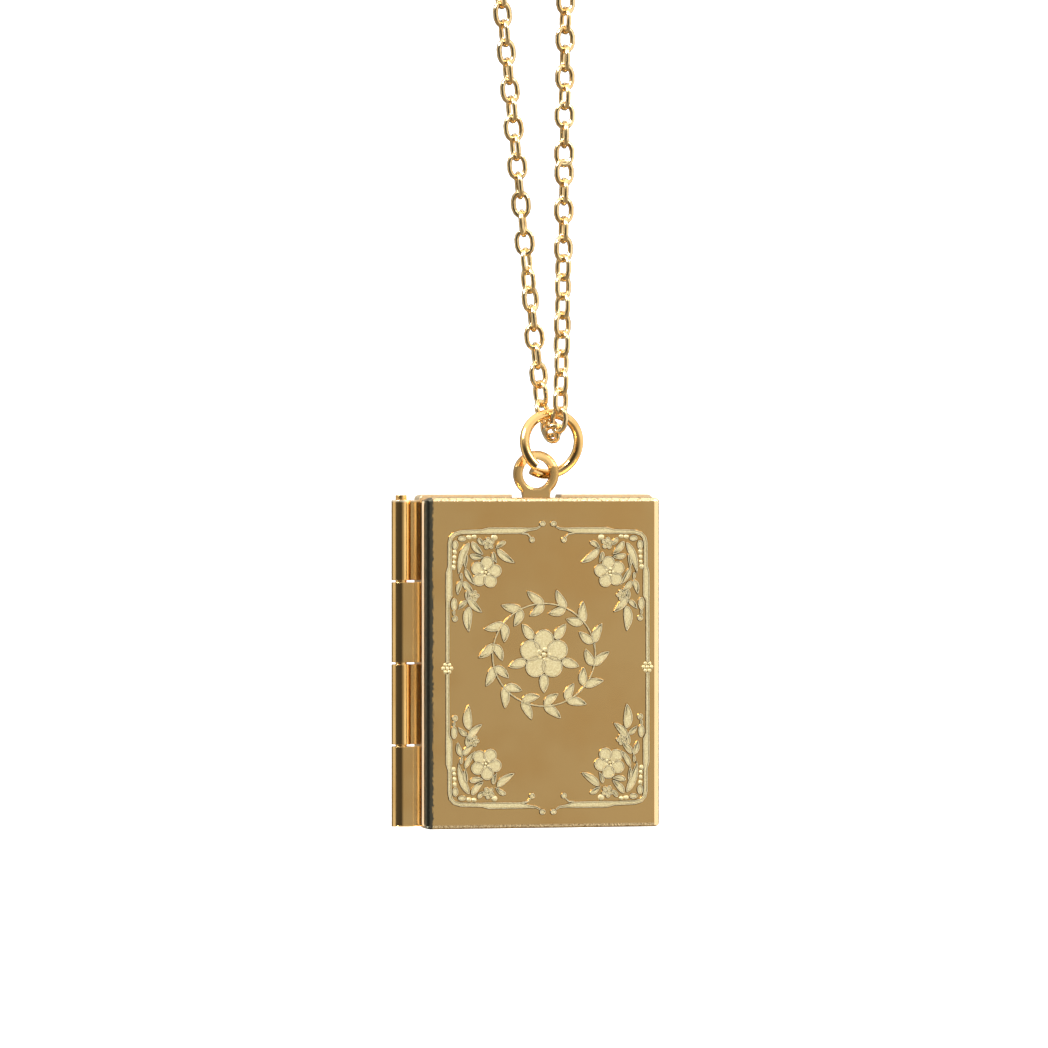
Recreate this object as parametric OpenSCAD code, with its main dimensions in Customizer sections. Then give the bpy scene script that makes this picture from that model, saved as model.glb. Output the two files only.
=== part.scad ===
/* [Case] */
// Width of each cover
cover_w = 19.4; // [14:0.1:30]
// Height of each cover
cover_h = 26.4; // [18:0.1:40]
// Depth of the front cover, from its face to the seam
front_depth = 2.0; // [1.4:0.1:4]
// Depth of the back cover, from its face to the seam
back_depth = 2.0; // [1.4:0.1:4]
// Thickness of the sheet that both covers are stamped from
sheet = 0.4; // [0.3:0.05:0.6]
// Radius of the rounded edge round each face
edge_r = 0.4; // [0.2:0.05:0.8]
// Radius of the four corners, seen from the front
corner_r = 0.5; // [0.3:0.05:1.2]
// Gap between the two covers when they are shut
seam_gap = 0.1; // [0.05:0.01:0.2]
// How far the back cover stands above the front cover
back_rise = 0.25; // [0:0.05:0.4]
// Width of the picture frame inside each cover
frame_w = 1.7; // [1:0.1:3]
// Thickness of the picture frame inside each cover
frame_t = 0.5; // [0.3:0.05:0.8]

/* [Hinge] */
// Number of knuckles along the hinge
knuckles = 4; // [4:2:8]
// Outer diameter of a knuckle
knuckle_d = 1.56; // [1.4:0.02:2.4]
// Diameter of the hinge pin
pin_d = 0.9; // [0.6:0.02:1]
// Running clearance round the pin, on the radius
pin_gap = 0.03; // [0.02:0.01:0.06]
// How far the pin stands above the top knuckle
pin_stand = 0.4; // [0.2:0.1:1]
// Gap between neighbouring knuckles
knuckle_gap = 0.16; // [0.1:0.02:0.4]
// Clear distance from the side of the case to the hinge axis
hinge_reach = 1.5; // [1.5:0.05:2.4]
// Thickness of the hinge leaves
leaf_t = 0.3; // [0.2:0.05:0.4]
// How far each end of the hinge stops short of the case
hinge_inset = 0.2; // [0:0.05:1]

/* [Bail] */
// Diameter of the hole in the bail
bail_hole_d = 2.3; // [2:0.05:3]
// Width of the rim round the bail's hole
bail_rim = 0.7; // [0.5:0.05:1]
// Width of the bail's neck, where it leaves the case
bail_neck_w = 2.2; // [1.6:0.1:3]
// Height of the bail's hole above the case
bail_rise = 1.9; // [1.7:0.05:3]
// Width of the notch in the back cover that the bail stands in
notch_w = 4.1; // [3.4:0.1:6]

/* [Jump ring] */
// Outer diameter of the jump ring
ring_d = 5.8; // [5.4:0.1:8]
// Diameter of the jump ring's wire
ring_wire = 0.8; // [0.6:0.05:0.9]
// Turn of the jump ring away from the face of the locket
ring_turn = 4; // [2:1:20]
// Sideways spread of the jump ring's two halves
ring_spread = 15; // [13:0.5:17]
// Angle of the ring's gap
ring_gap = 12; // [6:1:16]
// Angle from the lowest point of the ring to its gap
gap_place = 36; // [34:1:40]
// Angle from the lowest point of the ring to the bail
bail_place = 28; // [26:1:30]
// How far the bail stands behind the middle of the ring's two ends
bail_back = 0.4; // [0.3:0.05:0.45]

/* [Chain] */
// Length round the whole loop, with the clasp
loop_l = 450; // [380:5:600]
// Thickness of the chain
chain_d = 1.2; // [1:0.05:1.3]
// Lean of the left strand away from upright
left_lean = 7.0; // [5:0.1:12]
// Lean of the right strand away from upright
right_lean = 1.8; // [1:0.1:6]
// Clearance between the chain and the ring's wire
wire_clear = 0.1; // [0.08:0.01:0.2]

/* [Clasp] */
// Length of the clasp
clasp_l = 9.6; // [9:0.2:14]
// Width of the clasp at its body
clasp_w = 3.8; // [3.4:0.1:4.6]
// Thickness of the clasp
clasp_t = 1.6; // [1.2:0.1:2.4]
// Width of the clasp where it narrows to its eye
clasp_neck_w = 1.9; // [1.8:0.1:2.2]
// Length of the clasp's straight grip
grip_l = 4.6; // [3:0.1:4.8]
// Width of the clasp's straight grip
grip_w = 3.2; // [2.4:0.1:3.4]
// Diameter of the clasp's eye
eye_d = 1.5; // [1.4:0.1:1.8]
// Width of the rim round the clasp's eye
eye_rim = 0.45; // [0.3:0.05:0.8]
// Thickness of the clasp at its eye
eye_t = 0.7; // [0.5:0.05:0.8]
// Width of the clasp's mouth
mouth_w = 1.6; // [1.4:0.1:1.8]
// Straight length of the clasp's mouth
mouth_l = 1.2; // [0.6:0.1:1.6]
// Thickness of the claw's wall beyond the mouth
claw_wall = 0.7; // [0.5:0.05:0.9]

/* [Hidden] */
$fn = 48;
eps = 0.01;

// The loop is two straight strands and the arc that both run into. The clasp is
// a chord of the arc, and its underside is at the origin
half_open = (left_lean + right_lean) / 2;
lean = (left_lean - right_lean) / 2;
strand_l = loop_l / (2 + 2 * tan(half_open) * (90 + half_open) * PI / 180);
arc_r = strand_l * tan(half_open);
clasp_end_gap = 0.25;
clasp_a = asin((clasp_l / 2 + clasp_end_gap) / arc_r);
arc_centre = [0, 0, clasp_w / 2 - arc_r * cos(clasp_a)];

// The foot of the loop is the middle of the ring's wire at its top
foot = arc_centre + strand_l / cos(half_open) * [sin(lean), 0, -cos(lean)];
ring_r = (ring_d - ring_wire) / 2;
across = [-sin(ring_turn), cos(ring_turn), 0];

// The bail's hole lies on the ring, a little below the middle of its wire
hang = 0.1;
bail_arm = ring_r + hang;
bail_at = foot + [-bail_arm * sin(bail_place) * cos(ring_turn),
                  -bail_arm * sin(bail_place) * sin(ring_turn) + bail_back,
                  -ring_r - bail_arm * cos(bail_place)];

// Places inside the locket, measured from the middle of the bail's hole
bail_t = frame_t;
seam_y = -bail_t / 2 - seam_gap / 2;
case_top = -bail_rise;
case_mid = case_top - cover_h / 2;
hinge_x = -cover_w / 2 - hinge_reach;
hinge_l = cover_h - 2 * hinge_inset;
knuckle_l = (hinge_l - (knuckles - 1) * knuckle_gap) / knuckles;
lap = 0.55 * hinge_reach;
bail_r = bail_hole_d / 2 + bail_rim;
shoulder_a = 30;
shoulder = (bail_r - bail_rim / 2) * [cos(shoulder_a), -sin(shoulder_a)];

// Route of the chain
bend_r = chain_d / 2 + ring_wire / 2 + wire_clear;
bend_drop = 0.3;
part_h = 16;
chain_sides = 8;

module rounded_outline(w, h, r) {
  square([w - 2 * r, h], center = true);
  square([w, h - 2 * r], center = true);
  for (x = [-1, 1], y = [-1, 1])
    translate([x * (w / 2 - r), y * (h / 2 - r)]) circle(r);
}

// A face edge rounded on one side only, drawn with the face towards minus Y
module pillow(w, depth) {
  translate([-w / 2 + edge_r, 0]) square([w - 2 * edge_r, depth]);
  translate([-w / 2, edge_r]) square([w, depth - edge_r]);
  for (x = [-1, 1]) translate([x * (w / 2 - edge_r), edge_r]) circle(edge_r);
}

// One stamped cover with its face at minus Y and its seam at Y = 0
module tray(depth) {
  difference() {
    intersection() {
      rotate([90, 0, 0]) linear_extrude(depth) rounded_outline(cover_w, cover_h, corner_r);
      translate([0, -depth, -cover_h / 2]) linear_extrude(cover_h) pillow(cover_w, depth);
      translate([cover_w / 2, -depth, 0]) rotate([0, -90, 0])
        linear_extrude(cover_w) pillow(cover_h, depth);
    }
    translate([-cover_w / 2 + sheet, -depth + sheet, -cover_h / 2 + sheet])
      cube([cover_w - 2 * sheet, depth, cover_h - 2 * sheet]);
  }
}

// The flat frame that holds a picture, flush with the seam
module picture_frame() {
  inside = [cover_w - 2 * sheet, cover_h - 2 * sheet];
  rotate([90, 0, 0]) linear_extrude(frame_t) difference() {
    square([inside[0] + eps, inside[1] + eps], center = true);
    rounded_outline(inside[0] - 2 * frame_w, inside[1] - 2 * frame_w, corner_r);
  }
}

// Each knuckle is a rolled leaf that reaches to the side of its own cover
module leaf_section() {
  reach = hinge_reach + sheet / 2;
  difference() {
    union() {
      circle(d = knuckle_d);
      translate([0, -knuckle_d / 2]) square([lap, leaf_t]);
      translate([lap - leaf_t, -knuckle_d / 2]) square([leaf_t, knuckle_d / 2 - seam_gap]);
      translate([lap - leaf_t, -seam_gap - leaf_t]) square([reach - lap + leaf_t, leaf_t]);
    }
    circle(d = pin_d + 2 * pin_gap);
  }
}

module knuckle_row(first) {
  for (i = [first : 2 : knuckles - 1])
    translate([hinge_x, 0, case_top - hinge_inset - (i + 1) * knuckle_l - i * knuckle_gap])
      linear_extrude(knuckle_l) leaf_section();
}

module bail() {
  rotate([90, 0, 0]) translate([0, 0, -bail_t / 2]) linear_extrude(bail_t) difference() {
    union() {
      circle(bail_r);
      translate([-bail_neck_w / 2, case_top - sheet - frame_w])
        square([bail_neck_w, bail_rise + sheet + frame_w]);
      // Shoulders that draw the rim in to the neck
      polygon([[-shoulder[0], shoulder[1]], shoulder,
               [bail_neck_w / 2, case_top], [-bail_neck_w / 2, case_top]]);
    }
    circle(d = bail_hole_d);
  }
}

module in_locket() {
  translate(bail_at) children();
}

module front_cover() color([0.86, 0.66, 0.36]) in_locket() {
  translate([0, seam_y - seam_gap / 2, case_mid]) {
    tray(front_depth);
    picture_frame();
  }
  translate([0, seam_y, 0]) knuckle_row(1);
}

module back_cover() color([0.86, 0.66, 0.36]) in_locket() {
  difference() {
    translate([0, seam_y + seam_gap / 2, case_mid + back_rise]) mirror([0, 1, 0]) {
      tray(back_depth);
      picture_frame();
    }
    translate([-notch_w / 2, bail_t / 2, case_top + back_rise - sheet])
      cube([notch_w, back_depth + 1, sheet + 1]);
    translate([-notch_w / 2, seam_y, case_top + back_rise - sheet])
      cube([notch_w, bail_t + seam_gap, sheet + 1]);
  }
  translate([0, seam_y, 0]) mirror([0, 1, 0]) knuckle_row(0);
  bail();
}

module hinge_pin() color([0.84, 0.64, 0.35]) in_locket()
  translate([hinge_x, seam_y, case_top - hinge_inset - hinge_l])
    cylinder(d = pin_d, h = hinge_l + pin_stand);

// Angles round the ring at its top and at its bottom
top_a = 90;
bottom_a = 270;

module ring_half(from, to) {
  translate([0, 0, -ring_r]) rotate([90, 0, 0]) rotate_extrude(angle = to - from, start = from)
    translate([ring_r, 0]) circle(d = ring_wire);
}

// The wire of a jump ring that was twisted open sideways and not closed fully
module jump_ring() color([0.9, 0.68, 0.35]) {
  gap_at = bottom_a - gap_place;
  translate(foot) rotate([0, 0, ring_turn]) {
    rotate([-ring_spread, 0, 0]) ring_half(top_a, gap_at - ring_gap / 2);
    rotate([ring_spread, 0, 0]) ring_half(gap_at + ring_gap / 2, top_a + 360);
  }
}

function ease(t) = t <= 0 ? 0 : t >= 1 ? 1 : t * t * (3 - 2 * t);

// A point of the left strand for side -1, of the right strand for side 1
function strand_point(side, h) =
  let (a = side < 0 ? left_lean : right_lean, off = bend_r * (1 - ease(h / part_h)))
  foot + [side * h * tan(a), 0, h] - side * off * across;

function arc_point(a) = arc_centre + arc_r * [cos(a), 0, sin(a)];

function bend_point(a) =
  foot + bend_r * cos(a) * across + [0, 0, -bend_drop - bend_r * sin(a)];

// Heights on both strands, close together where they part from each other
heights = concat([0, 1.2, 2.4], [for (i = [2 : 8]) i / 8 * part_h],
                 [for (i = [1 : 8]) part_h + i / 9 * (strand_l - part_h)]);
last = len(heights) - 1;
arc_steps = 10;
bend_steps = 8;
left_arc = 90 + left_lean - clasp_a;
right_arc = 90 + right_lean - clasp_a;
route = concat(
  [for (i = [0 : arc_steps]) arc_point(90 + clasp_a + i * left_arc / arc_steps)],
  [for (i = [last : -1 : 0]) strand_point(-1, heights[i])],
  [for (i = [1 : bend_steps - 1]) bend_point(i * 180 / bend_steps)],
  [for (h = heights) strand_point(1, h)],
  [for (i = [0 : arc_steps]) arc_point(-right_lean + i * right_arc / arc_steps)]);

function unit(v) = v / norm(v);
function along(i) =
  unit(route[min(i + 1, len(route) - 1)] - route[max(i - 1, 0)]);

// The side direction at each point, carried along the route without twisting
function carried(i, u) =
  i >= len(route) ? [] :
  let (t = along(i), w = unit(u - (u * t) * t)) concat([w], carried(i + 1, w));

module sweep(d, sides) {
  n = len(route);
  across_route = carried(0, [0, 1, 0]);
  rings = [for (i = [0 : n - 1])
    let (u = across_route[i], v = cross(along(i), u))
    for (k = [0 : sides - 1])
      route[i] + d / 2 * (cos(k * 360 / sides) * u + sin(k * 360 / sides) * v)];
  walls = [for (i = [0 : n - 2], k = [0 : sides - 1])
    [i * sides + k, (i + 1) * sides + k,
     (i + 1) * sides + (k + 1) % sides, i * sides + (k + 1) % sides]];
  near_end = [for (k = [0 : sides - 1]) k];
  far_end = [for (k = [sides - 1 : -1 : 0]) (n - 1) * sides + k];
  polyhedron(rings, concat([near_end], walls, [far_end]));
}

module chain() color([0.9, 0.72, 0.4]) sweep(chain_d, chain_sides);

// A plain claw clasp, lying along the top of the loop, with its thin eye at minus X
module clasp() color([0.88, 0.68, 0.37]) {
  eye_r = eye_d / 2 + eye_rim;
  eye_x = -clasp_l / 2 + eye_r;
  body_r = clasp_w / 2;
  claw_x = clasp_l / 2 - body_r;
  mouth_end = clasp_l / 2 - claw_wall - mouth_w / 2;
  translate([0, 0, clasp_w / 2]) rotate([90, 0, 0]) difference() {
    union() {
      linear_extrude(eye_t, center = true) {
        translate([eye_x, 0]) circle(eye_r);
        translate([eye_x, -clasp_neck_w / 2]) square([claw_x - eye_x, clasp_neck_w]);
      }
      linear_extrude(clasp_t, center = true) {
        translate([claw_x, 0]) circle(body_r);
        translate([claw_x - grip_l, -grip_w / 2]) square([grip_l, grip_w]);
      }
    }
    linear_extrude(2 * clasp_t, center = true) {
      translate([eye_x, 0]) circle(d = eye_d);
      translate([mouth_end - mouth_l, -mouth_w / 2]) square([mouth_l, mouth_w]);
      for (x = [0, mouth_l]) translate([mouth_end - x, 0]) circle(d = mouth_w);
    }
  }
}

front_cover();
back_cover();
hinge_pin();
jump_ring();
chain();
clasp();
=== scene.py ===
import math
import random

import bmesh
import bpy
from bpy.props import FloatProperty, FloatVectorProperty, IntProperty, PointerProperty
from mathutils import Matrix, Vector


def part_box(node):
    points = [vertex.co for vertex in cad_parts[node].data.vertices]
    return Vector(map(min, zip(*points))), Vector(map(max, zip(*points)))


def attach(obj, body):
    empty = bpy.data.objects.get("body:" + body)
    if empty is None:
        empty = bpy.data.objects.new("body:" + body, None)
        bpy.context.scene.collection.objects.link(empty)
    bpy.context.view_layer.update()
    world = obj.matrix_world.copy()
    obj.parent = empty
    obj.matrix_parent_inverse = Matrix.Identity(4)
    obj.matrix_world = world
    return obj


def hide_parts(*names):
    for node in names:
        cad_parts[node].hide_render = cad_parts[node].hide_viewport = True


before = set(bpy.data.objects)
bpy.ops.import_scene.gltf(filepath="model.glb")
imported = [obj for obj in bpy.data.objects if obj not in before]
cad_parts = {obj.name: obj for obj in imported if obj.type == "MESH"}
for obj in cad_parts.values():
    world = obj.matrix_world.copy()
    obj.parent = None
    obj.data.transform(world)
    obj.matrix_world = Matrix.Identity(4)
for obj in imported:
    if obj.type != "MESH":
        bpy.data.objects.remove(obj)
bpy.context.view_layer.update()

bl_info = {
    "name": "Book locket",
    "version": (1, 0, 0),
    "blender": (4, 5, 0),
    "location": "3D View > Sidebar > Locket",
    "description": "Finishes a book locket and makes its engraving, chain and clasp",
    "category": "Object",
}

MM = 0.001
# Radius to which the sharp edges of the metal look worn
EDGE_WEAR = 0.09 * MM
# Finishes of the small pieces: roughness, length and depth of the slow waves in mm
PIN_FINISH = (0.2, 2.2, 0.004)
RING_FINISH = (0.1, 3.0, 0.003)
CHAIN_FINISH = (0.14, 1.2, 0.004)
CLASP_FINISH = (0.16, 2.2, 0.004)


def length(name, description, millimetres):
    """A length property whose default is given in millimetres."""
    return FloatProperty(name=name, description=description, default=millimetres * MM,
                         unit="LENGTH", precision=5)


def angle(name, description, degrees):
    """An angle property whose default is given in degrees."""
    return FloatProperty(name=name, description=description,
                         default=math.radians(degrees), unit="ROTATION")


def colour(name, description, default):
    """A colour property."""
    return FloatVectorProperty(name=name, description=description, default=default,
                               subtype="COLOR", size=3, min=0, max=1)


class CaseSizes(bpy.types.PropertyGroup):
    cover_width: length("Cover width", "Width of one cover, without the hinge", 19.4)
    # The rim is a band round each cover that is painted pale as a highlight
    highlight_rim: length("Rim", "Width of the bright band round each cover", 0.42)
    # The side strip is painted pale as a highlight at the opening side
    side_strip: length("Side strip", "Width of the pale band at the opening side", 0.50)
    polish: colour("Polish", "Colour of the polished gold", (0.94, 0.62, 0.25))
    deep: colour("Deep gold", "Colour of the worn patches in the polish", (0.84, 0.52, 0.19))
    # Pale gold is a painted highlight on the rims, the opening side and the back cover's edge
    pale: colour("Pale gold", "Colour of the scratched rims", (1.0, 0.76, 0.43))
    # The spine colour is a painted dark reflection laid on the bend at the hinge side
    painted_dark_spine: colour("Spine", "Colour of the dark bend at the hinge side", (0.155, 0.145, 0.105))
    bend: length("Bend", "Width of the rounded bend at the hinge side", 0.62)
    # Depth to which the painted dark reflection reaches back from the face
    painted_dark_depth: length("Spine depth", "How deep the dark bend reaches back", 0.58)
    worn: colour("Worn gold", "Colour of the dull specks in the rims", (0.62, 0.42, 0.20))
    # The strip colour is a painted highlight on the back cover's edge and on the front cover's
    # wall
    strip: colour("Strip", "Colour of the back cover's edge by the front one", (1.0, 0.82, 0.56))
    lip: length("Lip", "Height of the bright lip along the front cover's lower edge", 0.27)
    bail_edge: length("Bail edge", "Radius to which the bail's edges are worn", 0.40)
    bail_crown: length("Bail crown", "Height of the bail's top that leans back", 1.25)
    roughness: FloatProperty(name="Roughness", description="Roughness of the polish",
                             default=0.13, min=0, max=1)


class EngravingSizes(bpy.types.PropertyGroup):
    height: length("Height", "How far the ornament stands proud", 0.09)
    lift: length("Lift", "Small rise that keeps forms that overlap apart", 0.006)
    slope: length("Slope", "Width of the sloped side of each form", 0.05)
    outline: length("Outline", "Width of the bright outline of each form", 0.055)
    dip: length("Dip", "Depth of the grainy middle below the outline", 0.035)
    shift_right: length("Shift right", "How far the ornament lies right of the middle", 0.35)
    shift_down: length("Shift down", "How far the ornament lies below the middle", 0.38)
    grain: colour("Grain", "Colour of the matte middles", (0.80, 0.71, 0.43))
    fleck: colour("Flecks", "Colour of the flecks in the matte middles", (0.66, 0.55, 0.29))
    bright: colour("Bright outline", "Colour of the cut outlines", (0.98, 0.87, 0.56))
    dull: colour("Dull outline", "Colour of the worn parts of the outlines", (0.84, 0.71, 0.40))
    # The shade colours of the sloped sides are painted shade
    shade: colour("Shade", "Colour of the sloped sides", (0.20, 0.13, 0.05))
    half_shade: colour("Half shade", "Colour of the sides' lighter parts", (0.34, 0.23, 0.10))


class ChainSizes(bpy.types.PropertyGroup):
    link_length: length("Link length", "Outer length of a link", 2.34)
    link_width: length("Link width", "Outer width of a link", 1.74)
    wire: length("Link wire", "Diameter of a link's wire", 0.45)
    pitch: length("Pitch", "Distance from one link to the next", 1.53)
    polish: colour("Polish", "Colour of the links' gold", (1.0, 0.77, 0.42))
    deep: colour("Deep gold", "Colour of the worn patches in the links", (0.88, 0.62, 0.30))
    loop: length("Loop", "Length round the whole loop", 450)
    part_height: length("Parting height", "Height over which the strands meet again", 45)
    bend: length("Bend radius", "Distance from the ring's wire to the chain", 1.25)
    clasp_gap: length("Clasp gap", "Space between the route's end and the clasp", 0.25)
    end_ring: length("End ring", "Outer diameter of the ring at each end", 2.9)
    end_wire: length("End ring wire", "Diameter of the end rings' wire", 0.4)
    left_lean: angle("Left lean", "Lean of the left strand away from upright", 7.0)
    right_lean: angle("Right lean", "Lean of the right strand away from upright", 1.8)
    strand_turn: angle("Strand turn", "Turn of the line from strand to strand at the ring", 18)
    sides: IntProperty(name="Sides", description="Sides round a link", default=14, min=10, max=16)
    wire_sides: IntProperty(name="Wire sides", description="Sides round a link's wire",
                            default=6, min=5, max=8)
    seed: IntProperty(name="Seed", description="Seed of the small turns of the links", default=7)


class ClaspSizes(bpy.types.PropertyGroup):
    edge: length("Edge", "Radius of the clasp's worn edges", 0.16)
    mouth_end: length("Mouth end", "Distance from the middle to the far end of the mouth", 4.1)
    eye_middle: length("Eye middle", "Distance from the middle to the middle of the eye", 3.6)
    eye_hole: length("Eye hole", "Diameter of the clasp's eye", 1.5)


class StudioSizes(bpy.types.PropertyGroup):
    picture_width: length("Picture width", "Width that the picture shows", 83.84)
    target: FloatVectorProperty(name="Target", description="Place in the middle of the picture",
                                default=(0.006756, -0.000154, -0.2215), subtype="XYZ",
                                unit="LENGTH", precision=6)
    lens: FloatProperty(name="Lens", description="Focal length of the camera", default=240)
    azimuth: angle("Azimuth", "Turn of the camera round the locket", -15)
    elevation: angle("Elevation", "Height of the camera above level", 0.5)
    floor_height: length("Floor height", "Height of the floor", -300)
    floor_size: length("Floor size", "Width of the floor", 60000)


# Socket numbers of a mix node, by its kind: first value, second value, result
MIX_SOCKETS = {"FLOAT": (2, 3, 0), "RGBA": (6, 7, 2)}
BEVEL_SAMPLES = 4


class Nodes:
    """Short calls that add nodes to a tree and join them."""

    def __init__(self, tree):
        self.tree = tree

    def node(self, kind, inputs, **settings):
        """Adds a node with its inputs and settings, and gives its outputs."""
        node = self.tree.nodes.new(kind)
        for key, value in settings.items():
            setattr(node, key, value)
        for key, value in inputs.items():
            self.put(node.inputs[key], value)
        return node.outputs

    def put(self, socket, value):
        """Joins a socket to another one, or sets it to a value."""
        if isinstance(value, bpy.types.NodeSocket):
            self.tree.links.new(value, socket)
        else:
            socket.default_value = (*value, 1) if socket.type == "RGBA" else value

    def calc(self, operation, *values, clamp=False):
        """One step of arithmetic."""
        return self.node("ShaderNodeMath", dict(enumerate(values)), operation=operation,
                         use_clamp=clamp)[0]

    def all_of(self, mask, *others):
        """A mask that holds where all of these hold."""
        for other in others:
            mask = self.calc("MULTIPLY", mask, other)
        return mask

    def step(self, value, low, high):
        """Rises smoothly from 0 to 1 as the value goes from low to high."""
        inputs = {"Value": value, "From Min": low, "From Max": high}
        return self.node("ShaderNodeMapRange", inputs, interpolation_type="SMOOTHSTEP")[0]

    def mix(self, kind, factor, first, second):
        first_socket, second_socket, result = MIX_SOCKETS[kind]
        inputs = {0: factor, first_socket: first, second_socket: second}
        return self.node("ShaderNodeMix", inputs, data_type=kind)[result]

    def blend(self, factor, first, second):
        """A colour that goes from the first one to the second."""
        return self.mix("RGBA", factor, first, second)

    def mixed(self, factor, first, second):
        """A number that goes from the first one to the second."""
        return self.mix("FLOAT", factor, first, second)

    def parts(self, vector):
        """The three numbers of a vector, by their letters."""
        return self.node("ShaderNodeSeparateXYZ", {0: vector})


class Paint(Nodes):
    """A material's nodes, laid out on the object's own coordinates."""

    def __init__(self, name):
        self.material = bpy.data.materials.new(name)
        self.material.use_nodes = True
        super().__init__(self.material.node_tree)
        self.shader = self.tree.nodes["Principled BSDF"]
        self.place = self.node("ShaderNodeTexCoord", {})["Object"]

    def noise(self, size, detail=2.0, stretch=(1, 1, 1)):
        """Noise whose patches are about so large, in metres."""
        place = self.node("ShaderNodeMapping", {"Vector": self.place, "Scale": stretch})[0]
        inputs = {"Vector": place, "Scale": 1 / size, "Detail": detail}
        return self.node("ShaderNodeTexNoise", inputs)[0]

    def soft_edges(self, radius):
        """Normals that round sharp edges off."""
        return self.node("ShaderNodeBevel", {"Radius": radius}, samples=BEVEL_SAMPLES)[0]

    def bump(self, height, depth, normal=None):
        """A bump so deep, in metres."""
        inputs = {"Height": height, "Distance": depth}
        if normal:
            inputs["Normal"] = normal
        return self.node("ShaderNodeBump", inputs)[0]

    def set(self, **values):
        """Sets the shader's sockets: an underscore stands for a space in a socket's name."""
        for name, value in values.items():
            self.put(self.shader.inputs[name.replace("_", " ")], value)


# Gold of the small pieces. Noise columns: size, detail, and stretch along X, Y and Z
WORN_PATCHES = (1.3 * MM, 4.0)
WORN_PATCH_FADE = (0.42, 0.66)
WORN_PATCH_ROUGHER = 0.09
WORN_MARKS = (0.16 * MM, 3.0, (1, 1, 0.12))
WORN_MARK_DEPTH = 0.0007 * MM
WORN_WAVE_DETAIL = 1.5


def worn_gold(name, colours, roughness, wave, wave_depth):
    """Polished gold with a slow wave so long and deep, in mm, patches and fine marks."""
    paint = Paint(name)
    patches = paint.step(paint.noise(*WORN_PATCHES), *WORN_PATCH_FADE)
    wave_noise = paint.noise(wave * MM, WORN_WAVE_DETAIL)
    waved = paint.bump(wave_noise, wave_depth * MM, paint.soft_edges(EDGE_WEAR))
    paint.set(Base_Color=paint.blend(patches, colours.polish, colours.deep), Metallic=1.0,
              Roughness=paint.mixed(patches, roughness, roughness + WORN_PATCH_ROUGHER),
              Normal=paint.bump(paint.noise(*WORN_MARKS), WORN_MARK_DEPTH, waved))
    return paint.material


# Gold of the covers. Noise columns: size, detail, and stretch along X, Y and Z
FACE_PATCHES = (5.0 * MM, 2.0)
FACE_WAVES = (4.0 * MM, 1.0)
FACE_SCRATCHES = (0.14 * MM, 3.0, (0.12, 1, 1))
RIM_SPECKS = (0.22 * MM, 2.0, (1, 1, 1.6))
RIM_DENTS = (0.17 * MM, 2.0)
BEND_RAGS = (0.2 * MM, 3.0, (1, 1, 0.6))
# Levels of the noise between which patches and specks fade in
PATCH_FADE = (0.35, 0.70)
SPECK_FADE = (0.50, 0.64)
WAVE_DEPTH = 0.006 * MM
SCRATCH_DEPTH = 0.0005 * MM
DENT_DEPTH = 0.03 * MM
# Roughness of the marks, and what the patches add to the polish
PATCH_ROUGHER = 0.08
RIM_ROUGHNESS = 0.26
LINE_ROUGHNESS = 0.5
SIDE_ROUGHNESS = 0.22
STRIP_ROUGHNESS = 0.42
# Share of metal in the pale line, a painted highlight, on the hinge side's wall
LINE_METAL = 0.62
# Slopes at which the front cover's side and lip and the bail's crown lean
SIDE_SLOPE = 0.26
LIP_SLOPE = 0.65
CROWN_SLOPE = 0.36
# Where masks begin and end, in shares of the rim, the bend or the side strip
RIM_DEPTH = (1.0, 0.5)
RIM_INSIDE = (1.0, 0.55)
RIM_OUTSIDE = (0.2, 0.05)
BEND_EDGE = (0.75, 0.5)
BEND_RAGGED = 0.7
SIDE_EDGE = (1.0, 0.95)
# The same in shares of the depth of the painted dark reflection
PAINTED_DARK_END = (1.0, 0.9)
LINE_START = (0.92, 1.0)
LINE_END = (2.2, 2.1)
# The same in millimetres, from the cover's side, face or top
NOT_HINGE = (-0.1, -0.05)
WALL = (0.06, 0.03)
WALL_FRONT = (0.80, 0.65)
STRIP_BOTTOM = (-0.4, -0.3)
STRIP_TOP = (0.4, 0.3)
BESIDE_BAIL = (1.7, 1.8)
BAIL_START = (0.25, 0.7)


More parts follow.
